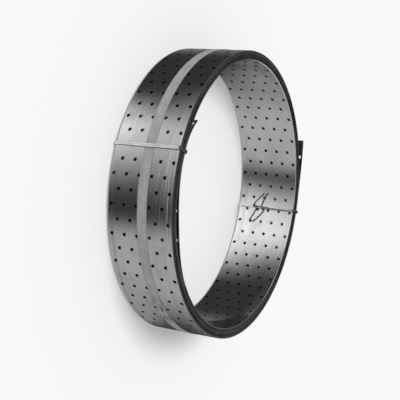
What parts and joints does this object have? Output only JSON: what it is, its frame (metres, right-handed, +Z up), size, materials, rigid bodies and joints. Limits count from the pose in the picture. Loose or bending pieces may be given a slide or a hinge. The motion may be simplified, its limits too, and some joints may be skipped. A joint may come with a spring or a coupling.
{
  "type": "perforated steel strap",
  "caption": "Coil of wide steel strap punched with staggered nail holes, taped along its outer turn and held by twisted wire ties; cut to length and nailed over timber joints.",
  "frame": {"origin": "centre of the coil's eye, on the coil's axis at half the strap's width", "axes": "+Z up along the coil's axis, towards the rim that is nearer in the picture, the coil lying on its other rim; +X towards the lifted outer end"},
  "size_m": [0.2681, 0.2616, 0.0636],
  "materials": {
    "strap_steel": "bright rolled steel, lightly smudged",
    "tape": "matt grey adhesive tape",
    "tie_wire": "bright drawn soft wire"
  },
  "bodies": {
    "root": {"strap_coil": "strap_steel", "centre_tape": "tape", "tie_wire_left": "tie_wire", "tie_wire_right": "tie_wire"}
  },
  "joints": []
}
